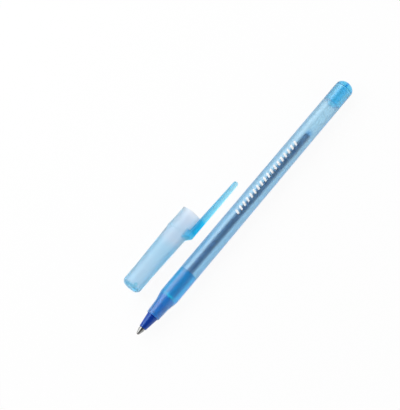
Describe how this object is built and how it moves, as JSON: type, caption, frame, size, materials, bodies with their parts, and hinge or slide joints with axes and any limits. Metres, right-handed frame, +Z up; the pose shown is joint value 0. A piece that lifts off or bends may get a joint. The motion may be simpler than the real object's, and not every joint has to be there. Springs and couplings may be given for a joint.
{
  "type": "stick ballpoint pen",
  "caption": "Translucent blue stick ballpoint pen lying beside its pulled-off cap: a tapered barrel with a stepped nose, ball point, ink tube and domed plug, and a cap with a pocket clip.",
  "frame": {"origin": "on the floor under the middle of the pen and its cap", "axes": "+X along the pen from its point to its plug, +Y across from the pen to the cap, +Z up"},
  "size_m": [0.142, 0.0242, 0.0103],
  "materials": {
    "frosted_barrel": "frosted translucent",
    "blue_plug": "translucent, moulded",
    "navy_holder": "glossy, moulded",
    "point_metal": "turned nickel silver",
    "ball_metal": "ground carbide, inked",
    "tube_plastic": "extruded, translucent",
    "blue_ink": "thick liquid",
    "cap_plastic": "translucent, satin"
  },
  "bodies": {
    "pen": {"barrel": "frosted_barrel", "end_plug": "blue_plug", "tip_holder": "navy_holder", "point_socket": "point_metal", "ink_tube": "tube_plastic", "ink": "blue_ink"},
    "ball": {"writing_ball": "ball_metal"},
    "cap": {"cap": "cap_plastic"}
  },
  "joints": [
    {"name": "ball_roll", "type": "hinge", "parent": "pen", "child": "ball", "pos_m": [-0.0705, -0.00789, 0.00425], "axis": [0, 1, 0], "continuous": true},
    {"name": "cap_pull", "type": "slide", "parent": "pen", "child": "cap", "axis": [-1, 0, 0], "range_m": [0, 0.056]}
  ]
}
